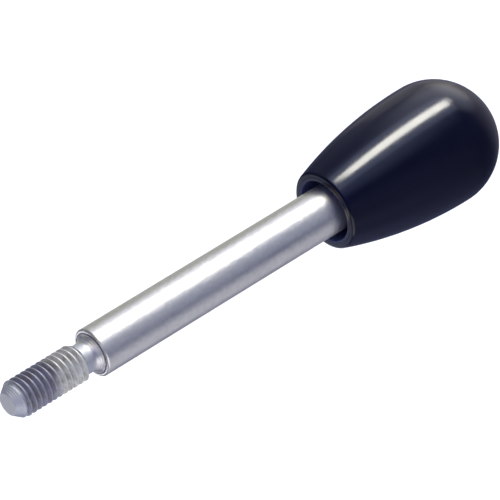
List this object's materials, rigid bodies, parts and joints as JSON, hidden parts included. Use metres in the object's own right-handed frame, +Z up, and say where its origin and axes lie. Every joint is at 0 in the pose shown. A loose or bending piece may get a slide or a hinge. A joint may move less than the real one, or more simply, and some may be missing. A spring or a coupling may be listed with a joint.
{
  "type": "clamping lever",
  "caption": "Straight clamping lever: a plain steel rod with an undercut threaded stud at one end and an egg-shaped moulded knob at the other.",
  "frame": {"origin": "centre of the shoulder face that seats on the clamped hub", "axes": "+X along the lever from the shoulder to the knob, the stud points to -X, +Z up"},
  "size_m": [0.1235, 0.026, 0.026],
  "materials": {
    "shaft_steel": "zinc-plated turned steel, satin",
    "knob_resin": "black moulded phenolic resin, polished",
    "insert_brass": "turned brass, dull"
  },
  "bodies": {
    "root": {"lever_shaft": "shaft_steel", "knob": "knob_resin", "knob_insert": "insert_brass"}
  },
  "joints": []
}
